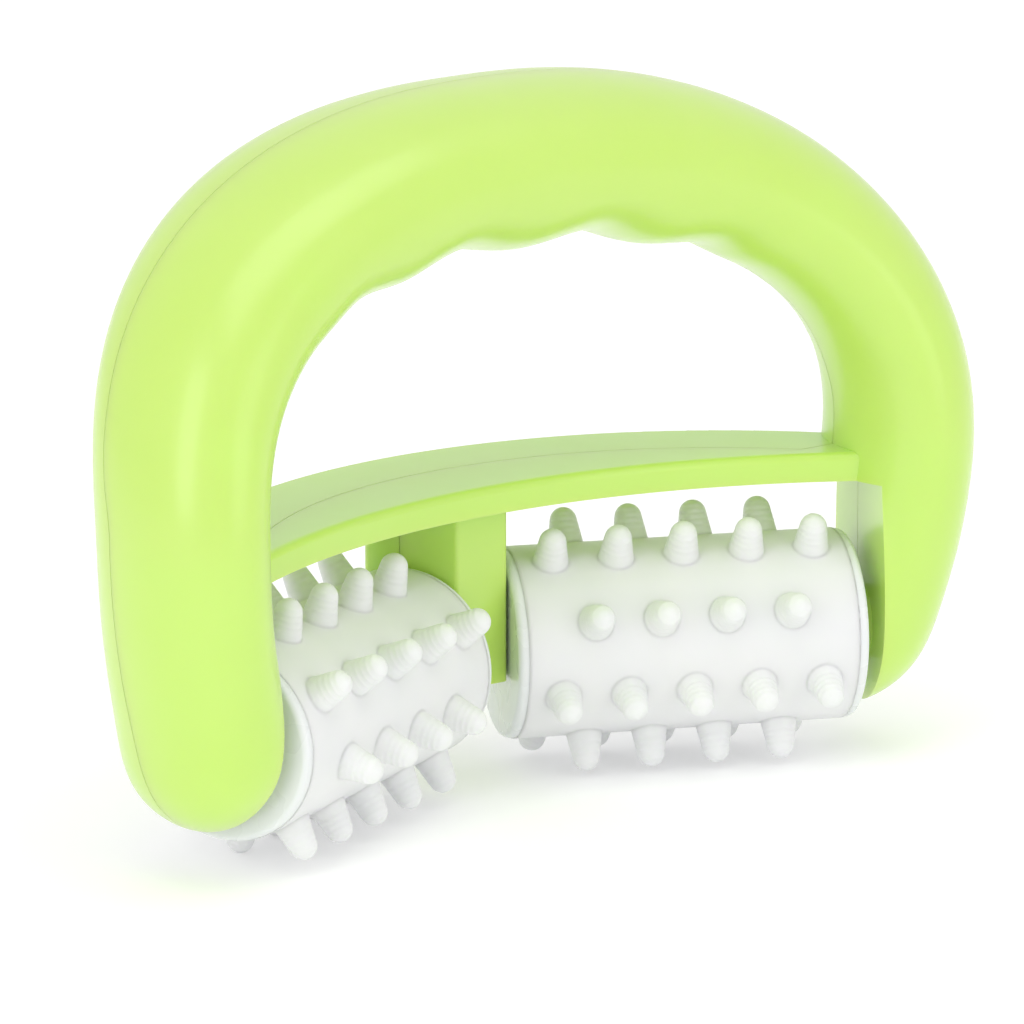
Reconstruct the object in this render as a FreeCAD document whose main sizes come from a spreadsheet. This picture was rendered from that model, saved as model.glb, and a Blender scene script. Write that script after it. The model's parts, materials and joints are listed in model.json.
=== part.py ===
"""Hand-held massage roller: a leaning D-shaped grip carrying two spiked rollers set in a V.

Frame: +Z up, X across the grip, Y from the user's front to the back.  The grip mirrors about X = 0.
The part stands on the lowest spike tips (Z = 0).  Lengths are in millimetres.

Everything is first drawn about the middle of the two rollers, at the height of their axles ("axle
frame"), and is then lifted into the part's own frame by lift().
"""
import FreeCAD, Part
import math
import os

import Sketcher
from FreeCAD import Placement, Rotation, Vector

os.makedirs("parts", exist_ok=True)
doc = FreeCAD.newDocument("massage_roller")

# ---------------------------------------------------------------- driving dimensions
DIMENSIONS = [
    # rollers
    ("roller_mid_x", 30.34, "X of each roller's middle"),
    ("roller_splay", 23.6, "degrees each axle turns forwards at its outer end"),
    ("sleeve_radius", 13.34, "smooth skin of the sleeve"),
    ("sleeve_length", 47.0, "sleeve, along the axle"),
    ("sleeve_wall", 2.0, "sleeve thickness"),
    ("core_wall", 1.8, "thickness of the tube under the sleeve"),
    ("spike_reach", 18.5, "spike tip, from the axle"),
    ("spike_root", 2.5, "radius of a spike where it leaves the sleeve"),
    ("spike_tip", 1.9, "radius of a spike's round tip"),
    ("spike_pitch", 9.28, "spikes along the axle"),
    ("cap_rim", 1.42, "thickness of an end cap outside the sleeve"),
    ("cap_radius", 13.2, "end cap"),
    ("cap_edge", 0.9, "rounding of an end cap's outer edge"),
    ("plug_depth", 7.0, "end cap inside the core"),
    ("plug_wall", 1.6, "thickness of the plug's skirt"),
    ("hub_radius", 5.5, "hub of an end cap"),
    ("recess_radius", 5.2, "recess for the thrust washer"),
    ("recess_depth", 0.6, "recess for the thrust washer"),
    ("bush_radius", 3.6, "plain bearing in each end cap"),
    ("axle_radius", 2.0, "steel axle"),
    ("running_gap", 0.05, "bearing clearance on the axle, on the radius"),
    ("axle_inner", 27.9, "inner end of an axle, from the roller's middle"),
    ("axle_outer", 33.6, "outer end of an axle, from the roller's middle"),
    ("axle_bevel", 0.3, "chamfer of the axle's ends"),
    ("washer_radius", 4.6, "thrust washer and spacer"),
    ("washer_thick", 0.7, "inner thrust washer"),
    ("spacer_thick", 1.2, "outer spacer"),
    ("end_play", 0.1, "free play beside each washer"),
    # bridge and bracket
    ("bridge_top", 25.4, "above the axles"),
    ("bridge_thick", 3.95, "bridge plate"),
    ("bridge_front_y", 0.1, "front edge at the middle"),
    ("bridge_front_bend", 95.0, "radius of the front edge in plan"),
    ("bridge_back_y", 23.4, "back edge at the middle"),
    ("bridge_back_bend", 75.2, "radius of the back edge in plan"),
    ("bridge_half", 58.0, "half length, ends inside the arms"),
    ("bridge_edge", 1.1, "rounding of the bridge's upper edges"),
    ("seam_middle_y", 12.35, "parting line of the bridge at the middle"),
    ("seam_half", 46.5, "where the bridge's parting line turns into the arms"),
    ("seam_gap", 0.12, "gap between the two shells"),
    ("bracket_front_y", 3.45, "front face of the bracket"),
    ("bracket_back_y", 17.6, "back face of the bracket"),
    ("bracket_drop", 3.5, "bracket below the axles"),
    ("bracket_face", 25.3, "bracket side, from the roller's middle along the axle"),
    ("bracket_edge", 0.9, "rounding of the bracket's upright edges"),
    ("notch_half", 0.9, "notch under the bracket"),
    ("notch_depth", 0.46, "notch, up from the bracket's bottom"),
    # grip
    ("grip_half", 60.6, "centre line of the arms at the wrists, from the middle"),
    ("grip_rise", 40.8, "crown of the centre line above the wrists"),
    ("grip_corner", 2.35, "exponent of the centre line's arch"),
    ("wrist_up", 29.5, "wrists above the axles"),
    ("leg_length", 29.2, "centre line below each wrist"),
    ("leg_draw_in", 5.6, "ankle nearer the middle than the wrist"),
    ("leg_sweep", 3.1, "ankle further back than the wrist"),
    ("leg_bend", 1.95, "exponent of the leg's curve"),
    ("leg_y", -12.2, "Y of the centre line at the wrists"),
    ("grip_lean", 14.8, "crown of the centre line behind the wrists"),
    ("lean_bend", 1.67, "exponent of the lean"),
    ("wrist_half_width", 9.0, "grip section in the plane of the D, at the wrists"),
    ("ankle_half_width", 10.0, "grip section in the plane of the D, at the ankles"),
    ("crown_half_width", 11.2, "grip section in the plane of the D, at the crown"),
    ("wrist_half_depth", 13.3, "grip section from front to back, at the wrists"),
    ("ankle_half_depth", 12.9, "grip section from front to back, at the ankles"),
    ("crown_half_depth", 17.6, "grip section from front to back, at the crown"),
    ("swell_bend", 2.1, "exponent of the swelling from wrist to crown"),
    ("side_skew", 0.17, "section sheared backwards towards its outside, at the sides"),
    ("shoulder_skew", 0.13, "more shear, greatest on the shoulders"),
    ("squareness", 2.1, "exponent of the grip's oval section"),
    ("foot_depth", 13.1, "rounded end of each arm"),
    ("finger_pitch", 24.4, "finger ridges along the grip"),
    ("finger_depth", 0.85, "finger ridges, half the height"),
    ("finger_span", 44.0, "finger ridges reach this far from the middle"),
    ("cheek_face", 27.5, "flat inside of each arm, from the roller's middle along the axle"),
    ("cheek_boss", 5.2, "radius of the boss round the axle"),
    ("parting_y", -8.3, "parting plane of the arms"),
    ("parting_lean", 9.4, "parting surface at the crown's height behind the arms' plane"),
    ("wall", 2.3, "shell thickness"),
    # screws
    ("screw_radius", 1.3, "shank"),
    ("screw_point", 0.4, "radius of the shank's blunt end"),
    ("screw_taper", 1.6, "length of the shank's point"),
    ("screw_length", 15.0, "shank under the head, in the grip"),
    ("bracket_screw_length", 8.0, "shank under the head, in the bracket"),
    ("head_radius", 2.5, "screw head"),
    ("head_height", 1.6, "screw head"),
    ("head_side", 0.9, "upright side of the head"),
    ("head_top", 1.55, "radius of the head's flat top"),
    ("head_gap", 0.3, "head pocket beyond the head"),
    ("drive_width", 0.7, "cross recess"),
    ("drive_depth", 0.9, "cross recess"),
    ("drive_reach", 1.5, "cross recess, from its middle"),
    ("boss_radius", 3.6, "screw boss"),
    ("screw_gap", 0.02, "screw clearance on the radius"),
    ("low_screw_angle", 12.0, "degrees up from the wrist, lower grip screws"),
    ("high_screw_angle", 36.0, "degrees up from the wrist, upper grip screws"),
    # pose and place
    ("left_phase", 31.5, "degrees, first row of five on the left roller"),
    ("right_phase", -21.2, "degrees, first row of five on the right roller"),
    ("stand_row", 13.5, "degrees from straight down, lowest row of spikes"),
    ("axle_y", 1.05, "Y of the rollers' middles"),
]


def make_sheet():
    """Spreadsheet with one aliased number per driving dimension."""
    sheet = doc.addObject("Spreadsheet::Sheet", "dims")
    for row, (alias, value, note) in enumerate(DIMENSIONS, start=1):
        sheet.set(f"A{row}", note)
        sheet.set(f"B{row}", str(value))
        sheet.setAlias(f"B{row}", alias)
    doc.recompute()
    return sheet


sheet = make_sheet()


class Size:
    """A length with its value and the expression that keeps it tied to the sheet."""

    def __init__(self, value, text):
        self.value = value
        self.text = text

    def _join(self, other, sign, result):
        text = other.text if isinstance(other, Size) else str(other)
        return Size(result, f"({self.text} {sign} {text})")

    def __add__(self, other):
        return self._join(other, "+", self.value + number(other))

    def __sub__(self, other):
        return self._join(other, "-", self.value - number(other))

    def __mul__(self, other):
        return self._join(other, "*", self.value * number(other))

    def __neg__(self):
        return Size(-self.value, f"(0 - {self.text})")


def number(size):
    return size.value if isinstance(size, Size) else size


def dim(alias):
    """Driving dimension as a Size."""
    return Size(float(getattr(sheet, alias)), f"dims.{alias}")


def mm(alias):
    """Driving dimension as a plain number."""
    return float(getattr(sheet, alias))


# ---------------------------------------------------------------- frames
def stand_height():
    """Axles' height with the lowest row of spikes on the ground."""
    tip_centre = mm("spike_reach") - mm("spike_tip")
    return tip_centre * math.cos(math.radians(mm("stand_row"))) + mm("spike_tip")


LIFT = Placement(Vector(0, mm("axle_y"), stand_height()), Rotation())
SIDES = {"left": -1, "right": 1}


def axle_frame(side, phase=0.0):
    """Roller frame: origin at its middle, +Z outwards along the axle, +X at the phase angle."""
    hand = SIDES[side]
    splay = math.radians(mm("roller_splay"))
    turn = math.radians(phase)
    outwards = Vector(hand * math.cos(splay), -math.sin(splay), 0)
    forwards = Vector(-hand * math.sin(splay), -math.cos(splay), 0)
    start = forwards * math.cos(turn) + Vector(0, 0, 1) * math.sin(turn)
    rotation = Rotation(start, outwards.cross(start), outwards, "ZXY")
    return Placement(Vector(hand * mm("roller_mid_x"), 0, 0), rotation)


def lift(obj, local=None):
    """Carry a drawn piece from its own frame into the part's frame."""
    obj.Placement = LIFT.multiply(local) if local else LIFT
    return obj


# ---------------------------------------------------------------- sketch helpers
def origin_item(body, role):
    return next(item for item in body.Origin.OriginFeatures if item.Role == role)


def new_body(name):
    body = doc.addObject("PartDesign::Body", name)
    body.Label = name
    return body


def new_sketch(body, name, plane="XZ_Plane", offset=None):
    sketch = body.newObject("Sketcher::SketchObject", name)
    sketch.AttachmentSupport = [(origin_item(body, plane), "")]
    sketch.MapMode = "FlatFace"
    if offset:
        sketch.AttachmentOffset = offset
    return sketch


def pin_point(sketch, line, end, across, up):
    """Tie one end of a line to the sketch's origin with two bound distances."""
    for kind, size, axis in (("DistanceX", across, -2), ("DistanceY", up, -1)):
        if number(size) == 0:
            sketch.addConstraint(Sketcher.Constraint("PointOnObject", line, end, axis))
            continue
        index = sketch.addConstraint(Sketcher.Constraint(kind, -1, 1, line, end, number(size)))
        if isinstance(size, Size):
            sketch.setExpression(f"Constraints[{index}]", size.text)


def outline(sketch, corners):
    """Closed polyline through corners given as (across, up) sizes."""
    points = [Vector(number(across), number(up), 0) for across, up in corners]
    first = sketch.GeometryCount
    count = len(points)
    for index in range(count):
        sketch.addGeometry(Part.LineSegment(points[index], points[(index + 1) % count]), False)
    for index in range(count):
        following = first + (index + 1) % count
        sketch.addConstraint(Sketcher.Constraint("Coincident", first + index, 2, following, 1))
    for index, (across, up) in enumerate(corners):
        pin_point(sketch, first + index, 1, across, up)


def revolve(body, sketch, name, axis="V_Axis"):
    feature = body.newObject("PartDesign::Revolution", name)
    feature.Profile = sketch
    feature.ReferenceAxis = (sketch, [axis])
    feature.Angle = 360
    return feature


def turned_body(name, corners):
    """Body turned about its own Z axis from an outline of (radius, height) corners."""
    body = new_body(name)
    sketch = new_sketch(body, f"{name}_profile")
    outline(sketch, corners)
    revolve(body, sketch, f"{name}_turned")
    return body


TOUCH = 0.01


def ring_edges(feature, radius, height):
    """Names of the circular edges of a feature with this radius and height."""
    names = []
    for index, edge in enumerate(feature.Shape.Edges, start=1):
        curve = edge.Curve
        if not isinstance(curve, Part.Circle):
            continue
        if abs(curve.Radius - radius) < TOUCH and abs(curve.Center.z - height) < TOUCH:
            names.append(f"Edge{index}")
    return names


def round_ring(body, radius, height, size):
    """Round the edge ring of a turned body at this radius and height."""
    doc.recompute()
    base = body.Tip
    fillet = body.newObject("PartDesign::Fillet", f"{body.Name}_rounding")
    fillet.Base = (base, ring_edges(base, number(radius), number(height)))
    fillet.Radius = number(size)
    fillet.setExpression("Radius", size.text)
    return fillet


# ---------------------------------------------------------------- roller pieces
def spike_row(body, name, count, turn):
    """One spike, repeated along the axle and then at each quarter turn."""
    offset = Placement(Vector(), Rotation(Vector(0, 1, 0), turn))
    sketch = new_sketch(body, f"{name}_profile", offset=offset)
    root = dim("sleeve_radius") - dim("sleeve_wall") * 0.5
    centre = dim("spike_reach") - dim("spike_tip")
    along = -(dim("spike_pitch") * ((count - 1) / 2))
    base = along + dim("spike_root")
    skin = dim("sleeve_radius")

    # the cone leaves the skin at the root radius and is tangent to the round tip
    run = centre.value - skin.value
    reach = math.hypot(run, mm("spike_root"))
    touch_angle = math.pi - math.acos(mm("spike_tip") / reach) - math.atan2(mm("spike_root"), run)
    touch = Vector(centre.value + mm("spike_tip") * math.cos(touch_angle),
                   along.value + mm("spike_tip") * math.sin(touch_angle), 0)
    corners = [Vector(root.value, along.value, 0), Vector(root.value, base.value, 0),
               Vector(skin.value, base.value, 0), touch]
    for start, end in zip(corners, corners[1:]):
        sketch.addGeometry(Part.LineSegment(start, end), False)
    tip_circle = Part.Circle(Vector(centre.value, along.value, 0), Vector(0, 0, 1), mm("spike_tip"))
    sketch.addGeometry(Part.ArcOfCircle(tip_circle, 0, touch_angle), False)
    apex = Vector(mm("spike_reach"), along.value, 0)
    sketch.addGeometry(Part.LineSegment(apex, corners[0]), False)
    axis_line = Part.LineSegment(Vector(0, along.value, 0), corners[0])
    sketch.addGeometry(axis_line, True)

    rules = [("Coincident", 0, 2, 1, 1), ("Coincident", 1, 2, 2, 1), ("Coincident", 3, 1, 4, 1),
             ("Coincident", 4, 2, 0, 1), ("Coincident", 5, 2, 0, 1), ("Tangent", 2, 2, 3, 2)]
    for rule in rules:
        sketch.addConstraint(Sketcher.Constraint(*rule))
    pin_point(sketch, 0, 1, root, along)
    pin_point(sketch, 0, 2, root, base)
    pin_point(sketch, 1, 2, skin, base)
    pin_point(sketch, 4, 1, dim("spike_reach"), along)
    pin_point(sketch, 3, 3, centre, along)
    pin_point(sketch, 5, 1, 0, along)
    spike = revolve(body, sketch, f"{name}_spike", "Axis0")

    rows = body.newObject("PartDesign::MultiTransform", f"{name}_rows")
    rows.Originals = [spike]
    along_axle = doc.addObject("PartDesign::LinearPattern", f"{name}_along")
    around = doc.addObject("PartDesign::PolarPattern", f"{name}_around")
    body.addObject(along_axle)
    body.addObject(around)
    along_axle.Direction = (origin_item(body, "Z_Axis"), [""])
    along_axle.Length = mm("spike_pitch") * (count - 1)
    along_axle.setExpression("Length", f"dims.spike_pitch * {count - 1}")
    along_axle.Occurrences = count
    around.Axis = (origin_item(body, "Z_Axis"), [""])
    around.Angle = 360
    around.Occurrences = 4
    rows.Transformations = [along_axle, around]
    body.Tip = rows


def make_sleeve(side):
    """Soft sleeve with eight rows of blunt spikes, five and four in turn."""
    half = dim("sleeve_length") * 0.5
    inner = dim("sleeve_radius") - dim("sleeve_wall")
    outer = dim("sleeve_radius")
    body = turned_body(f"{side}_roller_sleeve",
                       [(inner, -half), (outer, -half), (outer, half), (inner, half)])
    spike_row(body, f"{side}_five", 5, 0)
    spike_row(body, f"{side}_four", 4, 45)
    return lift(body, axle_frame(side, mm(f"{side}_phase")))


def make_core(side):
    """Stiff tube that carries the sleeve; the end caps plug into it."""
    half = dim("sleeve_length") * 0.5
    outer = dim("sleeve_radius") - dim("sleeve_wall")
    inner = outer - dim("core_wall")
    body = turned_body(f"{side}_roller_core",
                       [(inner, -half), (outer, -half), (outer, half), (inner, half)])
    return lift(body, axle_frame(side))


def end_frame(side, end):
    """Frame of a roller's end piece: +Z points out of that end."""
    flip = Rotation() if end == "outer" else Rotation(Vector(1, 0, 0), 180)
    return axle_frame(side).multiply(Placement(Vector(), flip))


def make_cap(side, end):
    """End cap: rim against the sleeve, skirt in the core, hub for the plain bearing."""
    seat = dim("sleeve_length") * 0.5
    face = seat + dim("cap_rim")
    back = seat - dim("plug_depth")
    skirt = dim("sleeve_radius") - dim("sleeve_wall") - dim("core_wall")
    floor = face - dim("recess_depth")
    web = seat - dim("plug_wall")
    body = turned_body(f"{side}_{end}_end_cap", [
        (dim("bush_radius"), back), (dim("hub_radius"), back), (dim("hub_radius"), web),
        (skirt - dim("plug_wall"), web), (skirt - dim("plug_wall"), back), (skirt, back),
        (skirt, seat), (dim("cap_radius"), seat), (dim("cap_radius"), face),
        (dim("recess_radius"), face), (dim("recess_radius"), floor), (dim("bush_radius"), floor)])
    round_ring(body, dim("cap_radius"), face, dim("cap_edge"))
    return lift(body, end_frame(side, end))


def make_bush(side, end):
    """Plain bearing pressed into an end cap's hub."""
    floor = dim("sleeve_length") * 0.5 + dim("cap_rim") - dim("recess_depth")
    back = dim("sleeve_length") * 0.5 - dim("plug_depth")
    bore = dim("axle_radius") + dim("running_gap")
    body = turned_body(f"{side}_{end}_bush", [
        (bore, back), (dim("bush_radius"), back), (dim("bush_radius"), floor), (bore, floor)])
    return lift(body, end_frame(side, end))


def make_axle(side):
    """Steel pin with chamfered ends, held between the two shells."""
    bevel = dim("axle_radius") - dim("axle_bevel")
    low = -dim("axle_inner")
    high = dim("axle_outer")
    body = turned_body(f"{side}_axle", [
        (0, low), (bevel, low), (dim("axle_radius"), low + dim("axle_bevel")),
        (dim("axle_radius"), high - dim("axle_bevel")), (bevel, high), (0, high)])
    return lift(body, axle_frame(side))


def make_ring(name, side, end, start, thickness):
    """Flat washer round the axle; start is its inner face from the roller's middle."""
    bore = dim("axle_radius") + dim("running_gap")
    stop = start + thickness
    body = turned_body(name, [(bore, start), (dim("washer_radius"), start),
                              (dim("washer_radius"), stop), (bore, stop)])
    return lift(body, end_frame(side, end))


def make_rings(side):
    """Thrust washer at the bracket and spacer at the arm."""
    face = dim("sleeve_length") * 0.5 + dim("cap_rim")
    inner_start = dim("bracket_face") - dim("end_play") - dim("washer_thick")
    washer = make_ring(f"{side}_thrust_washer", side, "inner", inner_start, dim("washer_thick"))
    outer_start = face + dim("end_play")
    spacer = make_ring(f"{side}_spacer", side, "outer", outer_start, dim("spacer_thick"))
    return [washer, spacer]


# ---------------------------------------------------------------- grip surface
OVAL_POINTS = 24
OVAL_QUARTER = 6
STATION_STEP = 6.1
ARCH_STEPS = 18
LEG_STEPS = 3
FOOT_ANGLES = (16, 32, 47, 61, 73, 82)


def arch_point(degrees):
    """Centre line above the wrists, at this angle up from the right wrist."""
    across, up = math.cos(math.radians(degrees)), math.sin(math.radians(degrees))
    corner = mm("grip_corner")
    total = abs(across / mm("grip_half")) ** corner + abs(up / mm("grip_rise")) ** corner
    reach = total ** (-1 / corner)
    return reach * across, mm("wrist_up") + reach * up


def leg_point(hand, share):
    """Centre line below a wrist; share runs from 0 at the wrist to 1 at the ankle."""
    up = mm("wrist_up") - mm("leg_length") * share
    return hand * (mm("grip_half") - mm("leg_draw_in") * fall(up)), up


def height_share(up):
    """Height up the grip: 0 at the wrists or below them, 1 at the crown."""
    return max(0.0, up - mm("wrist_up")) / mm("grip_rise")


def fall(up):
    """Progress of a leg's curve at this height: 0 at the wrist, 1 at the ankle."""
    return (max(0.0, mm("wrist_up") - up) / mm("leg_length")) ** mm("leg_bend")


def centre_y(up):
    """Y of the centre line at this height."""
    lean = mm("grip_lean") * height_share(up) ** mm("lean_bend")
    return mm("leg_y") + lean + mm("leg_sweep") * fall(up)


def half_size(kind, up):
    """Half width or half depth of the section at this height."""
    wrist = mm(f"wrist_half_{kind}")
    swell = (mm(f"crown_half_{kind}") - wrist) * height_share(up) ** mm("swell_bend")
    return wrist + swell + (mm(f"ankle_half_{kind}") - wrist) * fall(up)


def grip_line():
    """Centre line from the left ankle over the crown to the right ankle, marked by its length."""
    shares = [step / LEG_STEPS for step in range(LEG_STEPS, 0, -1)]
    plan = [leg_point(-1, share) for share in shares]
    plan += [arch_point(180 - 180 * step / ARCH_STEPS) for step in range(ARCH_STEPS + 1)]
    plan += [leg_point(1, share) for share in reversed(shares)]
    points = [Vector(across, centre_y(up), up) for across, up in plan]
    marks = [0.0]
    for before, after in zip(points, points[1:]):
        marks.append(marks[-1] + before.distanceToPoint(after))
    line = Part.BSplineCurve()
    line.interpolate(Points=points, Parameters=marks)
    return line


def finger_wave(distance):
    """Height of the finger ridges at this distance from the crown."""
    span = mm("finger_span")
    fade = min(1.0, max(0.0, (span - abs(distance)) / (mm("finger_pitch") / 2)))
    return mm("finger_depth") * math.cos(2 * math.pi * distance / mm("finger_pitch")) * fade


def power(value, exponent):
    return math.copysign(abs(value) ** exponent, value)


def oval(centre, outwards, half_width, half_depth, skew, ridge=0.0):
    """Points round a section: an oval in the plane of outwards and Y, with a ridge on its inside."""
    exponent = 2 / mm("squareness")
    points = []
    for index in range(OVAL_POINTS):
        angle = 2 * math.pi * (index + 0.5 * OVAL_QUARTER) / OVAL_POINTS
        width = half_width * power(math.cos(angle), exponent)
        depth = half_depth * power(math.sin(angle), exponent)
        if width < 0:
            width -= ridge * abs(math.cos(angle))
        points.append(centre + outwards * width + Vector(0, depth + skew * width, 0))
    return points


def smooth_curve(points, marks, closed=False):
    curve = Part.BSplineCurve()
    curve.interpolate(Points=list(points), Parameters=marks, PeriodicFlag=closed)
    return curve


def skin(rows):
    """Solid through closed sections, given as (mark, points), with a flat face at both ends."""
    marks = [mark for mark, _ in rows]
    turns = [float(index) for index in range(OVAL_POINTS + 1)]
    rings = [smooth_curve(points, turns, True) for _, points in rows]
    columns = [smooth_curve(poles, marks) for poles in zip(*[ring.getPoles() for ring in rings])]
    ring, column = rings[0], columns[0]
    surface = Part.BSplineSurface()
    surface.buildFromPolesMultsKnots(
        list(zip(*[each.getPoles() for each in columns])),
        column.getMultiplicities(), ring.getMultiplicities(), column.getKnots(), ring.getKnots(),
        False, True, column.Degree, ring.Degree)
    faces = [surface.toShape(marks[0], marks[-1], turn, turn + OVAL_QUARTER)
             for turn in range(0, OVAL_POINTS, OVAL_QUARTER)]
    for mark in (marks[0], marks[-1]):
        rim = surface.uIso(mark)
        arcs = [rim.toShape(turn, turn + OVAL_QUARTER) for turn in range(0, OVAL_POINTS, OVAL_QUARTER)]
        faces.append(Part.Face(Part.Wire(arcs)))
    shell = Part.makeShell(faces)
    shell.sewShape()
    return Part.makeSolid(shell.Shells[0])


def section_at(line, mark):
    """Centre, tangent, outward direction, half width, half depth and skew at a mark."""
    centre = line.value(mark)
    tangent = line.tangent(mark)[0]
    outwards = Vector(-tangent.z, 0, tangent.x).normalize()
    sideways = abs(outwards.x)
    skew = mm("side_skew") * sideways + mm("shoulder_skew") * 2 * sideways * outwards.z
    width, depth = half_size("width", centre.z), half_size("depth", centre.z)
    return centre, tangent, outwards, width, depth, skew


def grip_section(line, mark, inset=0.0):
    """Section of the grip at a mark on its centre line."""
    centre, _, outwards, width, depth, skew = section_at(line, mark)
    ridge = finger_wave(mark - line.LastParameter / 2)
    return mark, oval(centre, outwards, width - inset, depth - inset, skew, ridge)


def foot_sections(line, mark, direction):
    """Sections that close the rounded end of an arm down to a small flat."""
    centre, tangent, outwards, width, depth, skew = section_at(line, mark)
    rows = []
    for degrees in FOOT_ANGLES:
        turn = math.radians(degrees)
        scale = math.cos(turn)
        middle = centre + tangent * (direction * mm("foot_depth") * math.sin(turn))
        foot_mark = mark + direction * mm("foot_depth") * turn
        rows.append((foot_mark, oval(middle, outwards, width * scale, depth * scale, skew)))
    return rows


def station_marks(line):
    """Evenly spaced marks along the centre line, one of them at the crown."""
    steps = 2 * round(line.LastParameter / STATION_STEP / 2)
    return [line.LastParameter * index / steps for index in range(steps + 1)]


def make_grip_solid():
    """The solid D of the grip, from one rounded foot over the crown to the other."""
    line = grip_line()
    middle = [grip_section(line, mark) for mark in station_marks(line)]
    start = list(reversed(foot_sections(line, line.FirstParameter, -1)))
    end = foot_sections(line, line.LastParameter, 1)
    return skin(start + middle + end)


def make_grip_cavity():
    """Hollow of the grip, ending above the bridge on both sides."""
    line = grip_line()
    floor = mm("bridge_top") + mm("wall")
    marks = [mark for mark in station_marks(line) if line.value(mark).z > floor]
    return skin([grip_section(line, mark, mm("wall")) for mark in marks])


# ---------------------------------------------------------------- bridge and bracket
FAR = 150.0


def arc_through(half, middle_y, bend):
    """Arc in plan, highest at X = 0, from -half to +half."""
    end_y = middle_y - bend + math.sqrt(bend ** 2 - half ** 2)
    return Part.Arc(Vector(-half, end_y, 0), Vector(0, middle_y, 0), Vector(half, end_y, 0))


def closed_prism(edges, low, high, direction=Vector(0, 0, 1)):
    """Prism of a closed plan outline between two heights along a direction."""
    shape = Part.Face(Part.Wire(Part.__sortEdges__(edges)))
    shape.translate(direction * low)
    return shape.extrude(direction * (high - low))


def make_bridge():
    """Curved plate that joins the arms under the hand opening."""
    half = mm("bridge_half")
    front = arc_through(half, mm("bridge_front_y"), mm("bridge_front_bend"))
    back = arc_through(half, mm("bridge_back_y"), mm("bridge_back_bend"))
    edges = [front.toShape(), back.toShape(),
             Part.LineSegment(front.StartPoint, back.StartPoint).toShape(),
             Part.LineSegment(front.EndPoint, back.EndPoint).toShape()]
    low = mm("bridge_top") - mm("bridge_thick")
    plate = closed_prism(edges, low, mm("bridge_top"))
    rims = [edge for edge in plate.Edges
            if isinstance(edge.Curve, Part.Circle) and edge.BoundBox.ZMin > mm("bridge_top") - TOUCH]
    return plate.makeFillet(mm("bridge_edge"), rims)


def beside_roller(side, reach, y):
    """X of the plane across the axle at this distance from the roller's middle, at this Y."""
    splay = math.radians(mm("roller_splay"))
    x = mm("roller_mid_x") + (reach + y * math.sin(splay)) / math.cos(splay)
    return SIDES[side] * x


def make_bracket():
    """Wedge under the bridge whose sides lie along the rollers' inner ends."""
    front_y, back_y = mm("bracket_front_y"), mm("bracket_back_y")
    corners = []
    for side, y in (("left", front_y), ("right", front_y), ("right", back_y), ("left", back_y)):
        corners.append(Vector(beside_roller(side, -mm("bracket_face"), y), y, 0))
    edges = [Part.LineSegment(corners[index - 1], corners[index]).toShape() for index in range(4)]
    wedge = closed_prism(edges, -mm("bracket_drop"), mm("bridge_top") - mm("bridge_thick") / 2)
    upright = [edge for edge in wedge.Edges if edge.BoundBox.ZLength > mm("bracket_drop") * 2]
    wedge = wedge.makeFillet(mm("bracket_edge"), upright)
    half = mm("notch_half")
    notch = Part.makeBox(2 * half, FAR, 2 * half)
    notch.rotate(Vector(half, 0, half), Vector(0, 1, 0), 45)
    tip = mm("notch_depth") - mm("bracket_drop")
    notch.translate(Vector(-half, 0, tip - half * (1 + math.sqrt(2))))
    return wedge.cut(notch)


# ---------------------------------------------------------------- parting of the shells
PARTING_STEP = 8.0
PARTING_STEPS = 8


def grip_tool(front):
    """Everything on one side of the grip's leaning parting surface."""
    shift = mm("seam_gap") / 2 * (-1 if front else 1)
    base_y = mm("parting_y") + shift
    heights = [mm("wrist_up") + PARTING_STEP * step for step in range(PARTING_STEPS + 1)]
    points = [Vector(0, base_y + mm("parting_lean") * height_share(up), up) for up in heights]
    lean = Part.BSplineCurve()
    first = Vector(0, 0, 1)
    last = (points[-1] - points[-2]).normalize()
    lean.interpolate(Points=points, InitialTangent=first, FinalTangent=last)
    bottom = Vector(0, base_y, -FAR)
    far_y = -FAR if front else FAR
    corners = [points[-1], Vector(0, far_y, points[-1].z), Vector(0, far_y, -FAR), bottom,
               points[0]]
    edges = [Part.LineSegment(a, b).toShape() for a, b in zip(corners, corners[1:])]
    return closed_prism(edges + [lean.toShape()], -FAR, FAR, Vector(1, 0, 0))


def bridge_tool(front):
    """Everything on one side of the bridge's curved parting surface."""
    shift = mm("seam_gap") / 2 * (-1 if front else 1)
    half = mm("seam_half")
    side_y = mm("parting_y") + shift
    middle_y = mm("seam_middle_y") + shift
    seam = Part.Arc(Vector(-half, side_y, 0), Vector(0, middle_y, 0), Vector(half, side_y, 0))
    far_y = -FAR if front else FAR
    corners = [Vector(half, side_y, 0), Vector(FAR, side_y, 0), Vector(FAR, far_y, 0),
               Vector(-FAR, far_y, 0), Vector(-FAR, side_y, 0), Vector(-half, side_y, 0)]
    edges = [Part.LineSegment(a, b).toShape() for a, b in zip(corners, corners[1:])]
    return closed_prism(edges + [seam.toShape()], -FAR, FAR)


# ---------------------------------------------------------------- axle seats
def in_axle_frame(side, shape):
    shape.Placement = axle_frame(side)
    return shape


def axle_bore(side):
    """Hole for both ends of an axle."""
    gap = mm("running_gap")
    length = mm("axle_inner") + mm("axle_outer") + 2 * gap
    bore = Part.makeCylinder(mm("axle_radius") + gap, length, Vector(0, 0, -mm("axle_inner") - gap))
    return in_axle_frame(side, bore)


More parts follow.
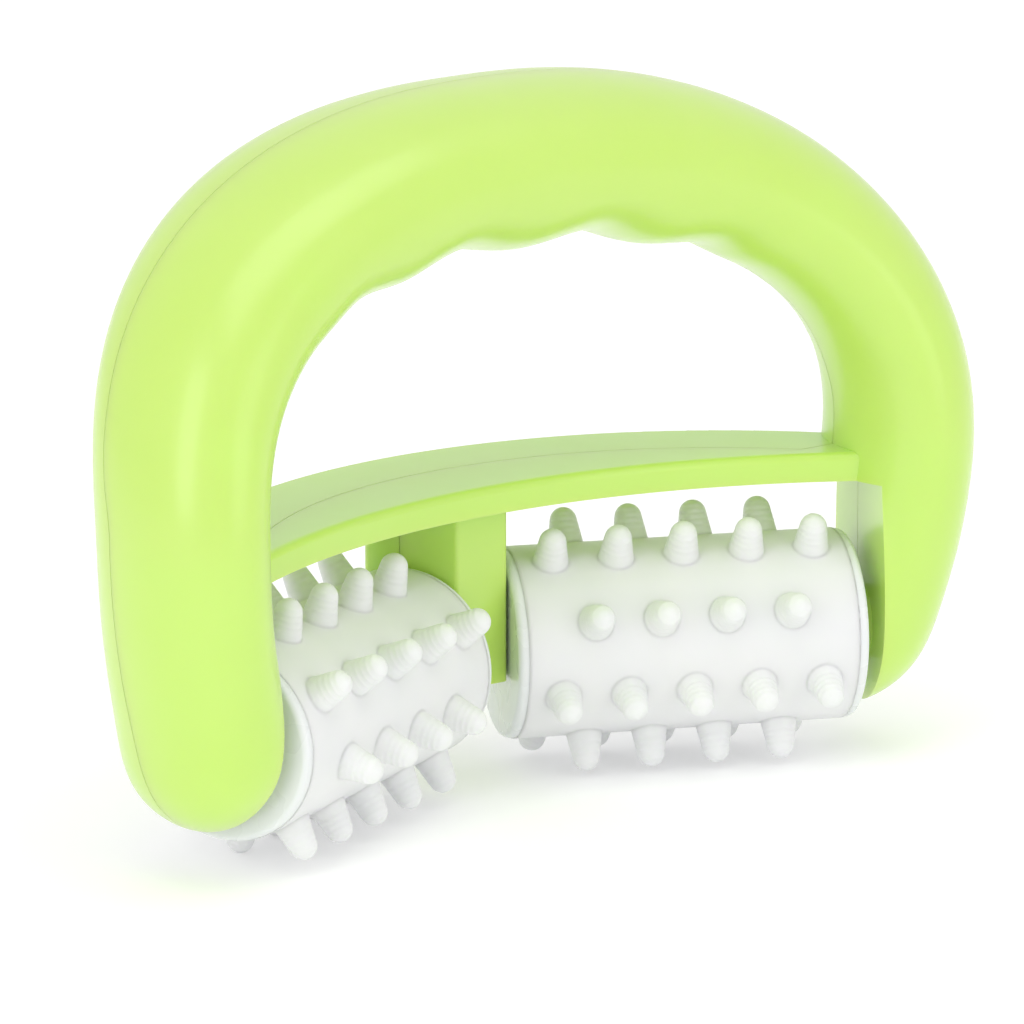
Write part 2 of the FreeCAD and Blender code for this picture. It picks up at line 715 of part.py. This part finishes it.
def axle_slot(side, start, stop, half_height):
    """Space behind an axle end, from the axle's middle straight back."""
    frame = axle_frame(side)
    near = [frame.multVec(Vector(0, 0, reach)) for reach in (start, stop)]
    corners = near + [point + Vector(0, FAR, 0) for point in reversed(near)]
    edges = [Part.LineSegment(corners[index - 1], corners[index]).toShape() for index in range(4)]
    return closed_prism(edges, -half_height, half_height)


def seat_spans(clearance):
    """Stretches of an axle that lie in the bracket and in the arm."""
    gap = mm("running_gap")
    inner = (-mm("axle_inner") - gap + clearance, -mm("bracket_face") - clearance)
    outer = (mm("cheek_face") + clearance, mm("axle_outer") + gap - clearance)
    return [inner, outer]


def seat_slots(side, clearance=0.0):
    half_height = mm("axle_radius") + mm("running_gap") - clearance
    return [axle_slot(side, *span, half_height) for span in seat_spans(clearance)]


def roller_bay(side):
    """Space beside a roller that the arm is cut away from."""
    depth = mm("cheek_face")
    bay = Part.makeBox(FAR, FAR, depth, Vector(-FAR / 2, -FAR / 2, 0))
    bay = in_axle_frame(side, bay)
    ceiling = Part.makeBox(2 * FAR, 2 * FAR, FAR,
                           Vector(-FAR, -FAR, mm("bridge_top") - mm("bridge_thick") - FAR))
    return bay.common(ceiling)


def cheek_boss(side):
    """Low boss round the axle on the arm's flat inside."""
    face = mm("sleeve_length") / 2 + mm("cap_rim") + 2 * mm("end_play") + mm("spacer_thick")
    overlap = mm("wall")
    boss = Part.makeCylinder(mm("cheek_boss"), mm("cheek_face") + overlap - face, Vector(0, 0, face))
    return in_axle_frame(side, boss)


# ---------------------------------------------------------------- screws
def screw_spots():
    """Axis (X, Z) and shank length of each screw, all driven from the back."""
    spots = []
    for angle in ("low_screw_angle", "high_screw_angle"):
        across, up = arch_point(mm(angle))
        spots += [(hand * across, up, "screw_length") for hand in SIDES.values()]
    middle = (mm("bridge_top") - mm("bridge_thick") - mm("bracket_drop")) / 2
    spots.append((0.0, middle, "bracket_screw_length"))
    return spots


def parting_at(x, z):
    """Y of the parting surface on a screw's axis, a little above or below it."""
    if z < mm("bridge_top"):
        return mm("seam_middle_y")
    probe = Part.makeLine(Vector(x, -FAR, z), Vector(x, FAR, z))
    return grip_tool(True).common(probe).BoundBox.YMax


def screw_seat(x, z):
    """Y of the underside of a screw's head, behind the parting surface."""
    return parting_at(x, z) + mm("wall") + mm("head_height")


def along_y(radius, start_y, stop_y, x, z):
    return Part.makeCylinder(radius, stop_y - start_y, Vector(x, start_y, z), Vector(0, 1, 0))


def screw_holes(front):
    """Pilot holes in the front shell, or clearance holes and head pockets in the back one."""
    tools = []
    radius = mm("screw_radius") + mm("screw_gap")
    for x, z, length in screw_spots():
        seat = screw_seat(x, z)
        tools.append(along_y(radius, seat - mm(length) - mm("screw_gap"), seat, x, z))
        if not front:
            tools.append(along_y(mm("head_radius") + mm("head_gap"), seat, FAR, x, z))
    return tools


def make_screw_body(name, length_alias):
    """Pan-head screw, head up, with a cross recess."""
    end = -dim(length_alias)
    shank, head, top = dim("screw_radius"), dim("head_radius"), dim("head_height")
    body = turned_body(name, [
        (0, end), (dim("screw_point"), end), (shank, end + dim("screw_taper")), (shank, 0),
        (head, 0), (head, dim("head_side")), (dim("head_top"), top), (0, top)])
    sketch = new_sketch(body, f"{name}_cross", "XY_Plane")
    arm = dim("drive_reach")
    half = dim("drive_width") * 0.5
    outline(sketch, [
        (half, half), (arm, half), (arm, -half), (half, -half), (half, -arm), (-half, -arm),
        (-half, -half), (-arm, -half), (-arm, half), (-half, half), (-half, arm), (half, arm)])
    pocket = body.newObject("PartDesign::Pocket", f"{name}_recess")
    pocket.Profile = sketch
    pocket.Type = 0
    sketch.AttachmentOffset = Placement(Vector(0, 0, mm("head_height")), Rotation())
    sketch.setExpression("AttachmentOffset.Base.z", "dims.head_height")
    pocket.Length = mm("drive_depth")
    pocket.setExpression("Length", "dims.drive_depth")
    doc.recompute()
    if body.Shape.Volume >= doc.getObject(f"{name}_turned").Shape.Volume:
        raise RuntimeError(f"{name}: the cross recess cuts nothing")
    return body


def make_screw_set(name, template, spots):
    """Several copies of one screw in one piece of the model."""
    head_back = Rotation(Vector(1, 0, 0), -90)
    copies = []
    for x, z, _ in spots:
        copy = template.Shape.copy()
        copy.Placement = Placement(Vector(x, screw_seat(x, z), z), head_back)
        copies.append(copy)
    return new_feature(name, Part.makeCompound(copies))


# ---------------------------------------------------------------- shells
def new_feature(name, shape):
    feature = doc.addObject("Part::Feature", name)
    feature.Label = name
    feature.Shape = shape
    return lift(feature)


def make_blank():
    """Solid grip and solid bridge, before parting."""
    grip = make_grip_solid()
    for side in SIDES:
        grip = grip.cut(roller_bay(side))
    bridge = make_bridge().fuse(make_bracket())
    return grip, bridge


def make_hollow():
    """Grip cavity with the screw bosses left standing in it."""
    cavity = make_grip_cavity()
    bosses = [along_y(mm("boss_radius"), -FAR, FAR, x, z)
              for x, z, length in screw_spots() if length == "screw_length"]
    return cavity.cut(bosses)


def make_shell(name, front, grip, bridge, hollow):
    """One half of the housing."""
    half = grip.common(grip_tool(front))
    half = half.fuse(bridge.common(bridge_tool(front)))
    if front:
        half = half.fuse([cheek_boss(side).common(grip_tool(True)) for side in SIDES])
        for side in SIDES:
            half = half.cut(seat_slots(side))
    else:
        clearance = 2 * mm("running_gap")
        tongues = []
        for side in SIDES:
            inner, outer = seat_slots(side, clearance)
            tongues.append(inner.common(bridge))
            tongues.append(outer.common(grip))
        half = half.fuse(tongues)
    half = half.cut([hollow] + [axle_bore(side) for side in SIDES] + screw_holes(front))
    half = half.removeSplitter()
    solids = sorted(half.Solids, key=lambda solid: solid.Volume)
    if len(solids) != 1:
        print(name, "solids:", [round(solid.Volume, 2) for solid in solids])
    return new_feature(name, solids[-1])


# ---------------------------------------------------------------- build and export
def build():
    nodes = []
    grip, bridge = make_blank()
    hollow = make_hollow()
    nodes.append(make_shell("handle_front_shell", True, grip, bridge, hollow))
    nodes.append(make_shell("handle_rear_shell", False, grip, bridge, hollow))
    spots = screw_spots()
    long_screw = make_screw_body("long_screw_template", "screw_length")
    short_screw = make_screw_body("short_screw_template", "bracket_screw_length")
    nodes.append(make_screw_set("grip_screws", long_screw, spots[:-1]))
    nodes.append(make_screw_set("bracket_screw", short_screw, spots[-1:]))
    for side in SIDES:
        nodes += [make_sleeve(side), make_core(side), make_axle(side)] + make_rings(side)
        for end in ("inner", "outer"):
            nodes += [make_cap(side, end), make_bush(side, end)]
    return nodes


def check_document():
    doc.recompute()
    for obj in doc.Objects:
        if "Invalid" in obj.State or "Error" in obj.State:
            raise RuntimeError(f"{obj.Name} is {obj.State}")


def export(nodes):
    whole = FreeCAD.BoundBox()
    for node in nodes:
        shape = node.Shape
        if shape.isNull() or not shape.isValid():
            raise RuntimeError(f"{node.Label}: bad shape")
        shape.exportStep(f"parts/{node.Label}.step")
        whole.add(shape.optimalBoundingBox(True, False))
        print(f"{node.Label:26s} {len(shape.Solids)} solids {shape.Volume:10.1f} mm3")
    print("box", [round(value, 3) for value in (whole.XMin, whole.XMax, whole.YMin, whole.YMax,
                                                whole.ZMin, whole.ZMax)])


nodes = build()
check_document()
export(nodes)
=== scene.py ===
"""Looks of the hand-held massage roller: materials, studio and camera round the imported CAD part."""
import json
import math

import bpy
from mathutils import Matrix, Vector

MM = 0.001
SIDES = ("left", "right")
ENDS = ("inner", "outer")

# camera: aim from the middle between the rollers, distance in metres, angles from straight in
# front and from level, lens and sensor in millimetres
AIM_OFFSET = Vector((0.0049, 0.0032, 0.0204))
AIM_DISTANCE = 1.1135
AZIMUTH = math.radians(-37.14)
ELEVATION = math.radians(13.94)
LENS = 286.2
SENSOR = 36.0
CLIP = (0.05, 50.0)

# studio
FLOOR_REACH = 5.0
FLOOR_GLOW = 0.16
WORLD_STRENGTH = 0.84
# name, degrees round the object from its front, degrees up, distance, width, height, watts
SOFTBOXES = [
    ("key", -73, 26, 1.3, 0.45, 1.1, 2.9),
    ("top", 0, 78, 1.2, 1.0, 0.6, 2.6),
    ("fill", 10, 15, 1.6, 0.8, 1.2, 2.4),
]

# rings on the spikes
RING_PITCH = 0.82 * MM
RING_START = 14.4 * MM
RING_DEPTH = 0.065 * MM
ROOT_ROUNDING = 0.9 * MM

# noise levels that a span stretches: the usual ones, and wide ones for softer blots
USUAL = (0.35, 0.65)
WIDE = (0.2, 0.8)

# linear colours
LIME = (0.545, 0.790, 0.140, 1.0)
LIME_PALE = (0.560, 0.802, 0.155, 1.0)
MILK = (0.830, 0.832, 0.835, 1.0)
MILK_COOL = (0.810, 0.817, 0.825, 1.0)
CAP_WHITE = (0.820, 0.838, 0.845, 1.0)
CAP_SHADE = (0.790, 0.815, 0.830, 1.0)
NYLON = (0.720, 0.715, 0.680, 1.0)
NYLON_SHADE = (0.640, 0.635, 0.600, 1.0)
STEEL = (0.560, 0.570, 0.580, 1.0)
STEEL_DARK = (0.420, 0.430, 0.445, 1.0)
ZINC = (0.500, 0.500, 0.480, 1.0)
ZINC_DARK = (0.340, 0.345, 0.350, 1.0)
FLOOR = (0.940, 0.940, 0.940, 1.0)
FLOOR_SHADE = (0.925, 0.927, 0.930, 1.0)
WHITE = (1.0, 1.0, 1.0, 1.0)


# ---------------------------------------------------------------- node helpers
class Recipe:
    """A material under construction, with short ways to add and join its nodes."""

    def __init__(self, name):
        self.material = bpy.data.materials.new(name)
        self.material.use_nodes = True
        self.nodes = self.material.node_tree.nodes
        self.links = self.material.node_tree.links
        self.shader = self.nodes["Principled BSDF"]

    def add(self, kind, **inputs):
        """Node of this kind; an input is a number, a colour or another node's output."""
        node = self.nodes.new(kind)
        for name, value in inputs.items():
            self.set(node, name.replace("_", " "), value)
        return node

    def set(self, node, name, value):
        """Link another node's output to an input, or write a plain value on it."""
        if isinstance(value, bpy.types.NodeSocket):
            self.links.new(value, node.inputs[name])
        else:
            node.inputs[name].default_value = value

    def surface(self, **inputs):
        """Settings of the material's own shader."""
        for name, value in inputs.items():
            self.set(self.shader, name.replace("_", " "), value)

    def place(self):
        """Coordinates fixed to the piece, in metres."""
        return self.nodes.new("ShaderNodeTexCoord").outputs["Object"]

    def math(self, operation, first, second=0.0):
        """Result of a sum on two numbers, each plain or another node's output."""
        node = self.nodes.new("ShaderNodeMath")
        node.operation = operation
        for index, value in enumerate((first, second)):
            if isinstance(value, bpy.types.NodeSocket):
                self.links.new(value, node.inputs[index])
            else:
                node.inputs[index].default_value = value
        return node.outputs["Value"]

    def noise(self, size, detail=3.0, place=None):
        """Soft noise whose blots are about this size in metres."""
        node = self.add("ShaderNodeTexNoise", Vector=place or self.place(), Scale=1 / size,
                        Detail=detail)
        return node.outputs["Fac"]

    def span(self, value, low, high, levels=USUAL):
        """Value stretched from between two levels to run from low to high."""
        node = self.nodes.new("ShaderNodeMapRange")
        for name, number in zip(("From Min", "From Max", "To Min", "To Max"), (*levels, low, high)):
            node.inputs[name].default_value = number
        self.links.new(value, node.inputs["Value"])
        return node.outputs["Result"]

    def blend(self, share, first, second):
        """Colour between two others, nearer the second as share goes from 0 to 1."""
        node = self.nodes.new("ShaderNodeMix")
        node.data_type = "RGBA"
        self.links.new(share, node.inputs["Factor"])
        node.inputs["A"].default_value = first
        node.inputs["B"].default_value = second
        return node.outputs["Result"]

    def soft_edges(self, radius):
        """Normal rounded at the edges and inner corners of the piece."""
        node = self.add("ShaderNodeBevel", Radius=radius)
        return node.outputs["Normal"]

    def bump(self, height, depth, normal=None):
        """Normal of a surface raised by height, which runs from 0 to 1, times depth in metres."""
        node = self.add("ShaderNodeBump", Height=height, Distance=depth, Strength=1.0)
        if normal is not None:
            self.links.new(normal, node.inputs["Normal"])
        return node.outputs["Normal"]


# ---------------------------------------------------------------- materials
def lime_plastic():
    """Glossy moulded plastic: faint swirl of the masterbatch and a very fine orange peel."""
    recipe = Recipe("lime_plastic")
    swirl = recipe.noise(14 * MM, detail=2.0)
    colour = recipe.blend(recipe.span(swirl, 0.0, 1.0, WIDE), LIME, LIME_PALE)
    gloss = recipe.span(recipe.noise(8 * MM, detail=1.0), 0.30, 0.36, WIDE)
    peel = recipe.bump(recipe.noise(2.5 * MM, detail=0.0), 0.0025 * MM)
    recipe.surface(Base_Color=colour, Roughness=gloss, Normal=peel, IOR=1.5,
                   Subsurface_Weight=0.35, Subsurface_Radius=(4 * MM, 5 * MM, 2 * MM),
                   Subsurface_Scale=1.0, Coat_Weight=0.6, Coat_Roughness=0.20)
    return recipe.material


def along_axle(recipe, joint):
    """Coordinates of a roller: X along its axle from its middle."""
    turn = math.atan2(joint["axis"][1], joint["axis"][0])
    node = recipe.nodes.new("ShaderNodeMapping")
    node.vector_type = "TEXTURE"
    node.inputs["Location"].default_value = joint["pos_m"]
    node.inputs["Rotation"].default_value = (0, 0, turn)
    recipe.links.new(recipe.place(), node.inputs["Vector"])
    return node.outputs["Vector"]


def from_axle(recipe, place):
    """Distance from the axle."""
    parts = recipe.add("ShaderNodeSeparateXYZ", Vector=place)
    across = recipe.math("MULTIPLY", parts.outputs["Y"], parts.outputs["Y"])
    up = recipe.math("MULTIPLY", parts.outputs["Z"], parts.outputs["Z"])
    return recipe.math("SQRT", recipe.math("ADD", across, up))


def ring_waves(recipe, distance, pitch, start):
    """Waves at equal steps of distance beyond a start, between 0 and 1."""
    above = recipe.math("MAXIMUM", recipe.math("SUBTRACT", distance, start), 0.0)
    turns = recipe.math("MULTIPLY", above, 2 * math.pi / pitch)
    return recipe.span(recipe.math("COSINE", turns), 0.0, 1.0, (-1.0, 1.0))


def sleeve_plastic(side, joint):
    """Milky soft plastic; the spikes carry fine rings, one above the other."""
    recipe = Recipe(f"{side}_sleeve_plastic")
    place = along_axle(recipe, joint)
    distance = from_axle(recipe, place)
    rings = ring_waves(recipe, distance, RING_PITCH, RING_START)
    cloud = recipe.noise(9 * MM, 2.0, place)
    colour = recipe.blend(recipe.span(cloud, 0.0, 1.0), MILK, MILK_COOL)
    roots = recipe.soft_edges(ROOT_ROUNDING)
    ringed = recipe.bump(rings, RING_DEPTH, roots)
    grain = recipe.bump(recipe.noise(0.8 * MM, 2.0, place), 0.006 * MM, ringed)
    gloss = recipe.span(recipe.noise(4 * MM, 2.0, place), 0.34, 0.44)
    recipe.surface(Base_Color=colour, Roughness=gloss, Normal=grain, IOR=1.45,
                   Subsurface_Weight=0.35, Subsurface_Radius=(3 * MM, 3.4 * MM, 2.8 * MM),
                   Subsurface_Scale=1.0)
    return recipe.material


def moulded_plastic(name, joint, pale, shade, smooth, rough):
    """Hard white plastic: faint clouds, a slightly uneven gloss and a very fine grain."""
    recipe = Recipe(name)
    place = along_axle(recipe, joint)
    cloud = recipe.noise(8 * MM, 1.0, place)
    colour = recipe.blend(recipe.span(cloud, 0.0, 1.0, WIDE), pale, shade)
    grain = recipe.bump(recipe.noise(1.6 * MM, 0.0, place), 0.002 * MM)
    gloss = recipe.span(recipe.noise(5 * MM, 1.0, place), smooth, rough, WIDE)
    recipe.surface(Base_Color=colour, Roughness=gloss, Normal=grain, IOR=1.5,
                   Subsurface_Weight=0.15, Subsurface_Radius=(1.5 * MM, 1.7 * MM, 1.8 * MM),
                   Subsurface_Scale=1.0)
    return recipe.material


def drawn_steel(name, joint, pale, shade):
    """Bare metal with fine scratches and a little tarnish."""
    recipe = Recipe(name)
    place = along_axle(recipe, joint) if joint else recipe.place()
    scratches = recipe.noise(0.12 * MM, 6.0, place)
    tarnish = recipe.noise(1.5 * MM, 4.0, place)
    colour = recipe.blend(recipe.span(tarnish, 0.0, 1.0), pale, shade)
    scored = recipe.bump(scratches, 0.002 * MM, recipe.soft_edges(0.1 * MM))
    gloss = recipe.span(recipe.noise(0.7 * MM, 4.0, place), 0.22, 0.38)
    recipe.surface(Base_Color=colour, Roughness=gloss, Normal=scored, Metallic=1.0)
    return recipe.material


def paint(node, material):
    """Give a CAD node its only material."""
    piece = frame["nodes"][node]
    piece.data.materials.clear()
    piece.data.materials.append(material)


def paint_roller(side, joint):
    """Everything on or in one roller."""
    paint(f"{side}_roller_sleeve", sleeve_plastic(side, joint))
    cap = moulded_plastic(f"{side}_cap_plastic", joint, CAP_WHITE, CAP_SHADE, 0.24, 0.32)
    core = moulded_plastic(f"{side}_core_plastic", joint, MILK_COOL, CAP_SHADE, 0.4, 0.5)
    nylon = moulded_plastic(f"{side}_nylon", joint, NYLON, NYLON_SHADE, 0.38, 0.5)
    paint(f"{side}_roller_core", core)
    for end in ENDS:
        paint(f"{side}_{end}_end_cap", cap)
        paint(f"{side}_{end}_bush", nylon)
    paint(f"{side}_thrust_washer", nylon)
    paint(f"{side}_spacer", nylon)
    steel = drawn_steel(f"{side}_axle_steel", joint, STEEL, STEEL_DARK)
    paint(f"{side}_axle", steel)


def paint_handle():
    """The two shells and the screws that join them."""
    lime = lime_plastic()
    zinc = drawn_steel("screw_zinc", None, ZINC, ZINC_DARK)
    for shell in ("handle_front_shell", "handle_rear_shell"):
        paint(shell, lime)
    for screws in ("grip_screws", "bracket_screw"):
        paint(screws, zinc)


# ---------------------------------------------------------------- studio
def make_floor():
    """Large pale floor with a soft glow of its own, as a lit table has."""
    mesh = bpy.data.meshes.new("floor")
    reach = FLOOR_REACH
    corners = [(-reach, -reach, 0), (reach, -reach, 0), (reach, reach, 0), (-reach, reach, 0)]
    mesh.from_pydata(corners, [], [(0, 1, 2, 3)])
    floor = bpy.data.objects.new("floor", mesh)
    bpy.context.scene.collection.objects.link(floor)
    recipe = Recipe("floor_paper")
    colour = recipe.blend(recipe.span(recipe.noise(40 * MM), 0.0, 1.0), FLOOR, FLOOR_SHADE)
    recipe.surface(Base_Color=colour, Roughness=0.7, Emission_Color=WHITE,
                   Emission_Strength=FLOOR_GLOW)
    mesh.materials.append(recipe.material)


def make_world():
    """Even white light from all round."""
    world = bpy.data.worlds.new("studio")
    world.use_nodes = True
    background = world.node_tree.nodes["Background"]
    background.inputs["Color"].default_value = WHITE
    background.inputs["Strength"].default_value = WORLD_STRENGTH
    bpy.context.scene.world = world


def direction(turn, rise):
    """Unit vector from the object, turned round it from straight in front (-Y) and raised."""
    level = math.cos(rise)
    return Vector((math.sin(turn) * level, -math.cos(turn) * level, math.sin(rise)))


def make_softbox(name, azimuth, elevation, distance, width, height, power):
    """Rectangular area light aimed at the object; azimuth 0 stands in front of it."""
    away = direction(math.radians(azimuth), math.radians(elevation))
    light = bpy.data.lights.new(name, "AREA")
    light.shape = "RECTANGLE"
    light.size, light.size_y = width, height
    light.energy = power
    box = bpy.data.objects.new(name, light)
    box.location = aim + away * distance
    box.rotation_mode = "QUATERNION"
    box.rotation_quaternion = (-away).to_track_quat("-Z", "Y")
    bpy.context.scene.collection.objects.link(box)


def make_camera():
    """Long lens in front of the object, to the left, looking a little down at it."""
    back = direction(AZIMUTH, ELEVATION)
    data = bpy.data.cameras.new("camera")
    data.lens = LENS
    data.sensor_width = SENSOR
    data.clip_start, data.clip_end = CLIP
    camera = bpy.data.objects.new("camera", data)
    camera.location = aim + back * AIM_DISTANCE
    camera.rotation_mode = "QUATERNION"
    camera.rotation_quaternion = (-back).to_track_quat("-Z", "Y")
    bpy.context.scene.collection.objects.link(camera)
    bpy.context.scene.camera = camera


def make_studio():
    """Floor, lights and camera."""
    make_floor()
    make_world()
    for softbox in SOFTBOXES:
        make_softbox(*softbox)
    make_camera()
    bpy.context.scene.view_settings.view_transform = "Standard"


# ---------------------------------------------------------------- the scene
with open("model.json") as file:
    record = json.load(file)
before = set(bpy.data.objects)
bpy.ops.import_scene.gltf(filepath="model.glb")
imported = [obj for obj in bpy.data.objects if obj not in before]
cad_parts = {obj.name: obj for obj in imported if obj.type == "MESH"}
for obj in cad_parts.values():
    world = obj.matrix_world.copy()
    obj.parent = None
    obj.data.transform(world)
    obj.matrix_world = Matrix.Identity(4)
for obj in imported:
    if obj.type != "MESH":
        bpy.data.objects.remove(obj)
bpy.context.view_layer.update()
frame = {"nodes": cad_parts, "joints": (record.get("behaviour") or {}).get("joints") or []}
joints = {joint["name"]: joint for joint in frame["joints"]}
middle = sum((Vector(joint["pos_m"]) for joint in joints.values()), Vector()) / len(joints)
aim = middle + AIM_OFFSET
paint_handle()
for side in SIDES:
    paint_roller(side, joints[f"{side}_roller_spin"])
make_studio()
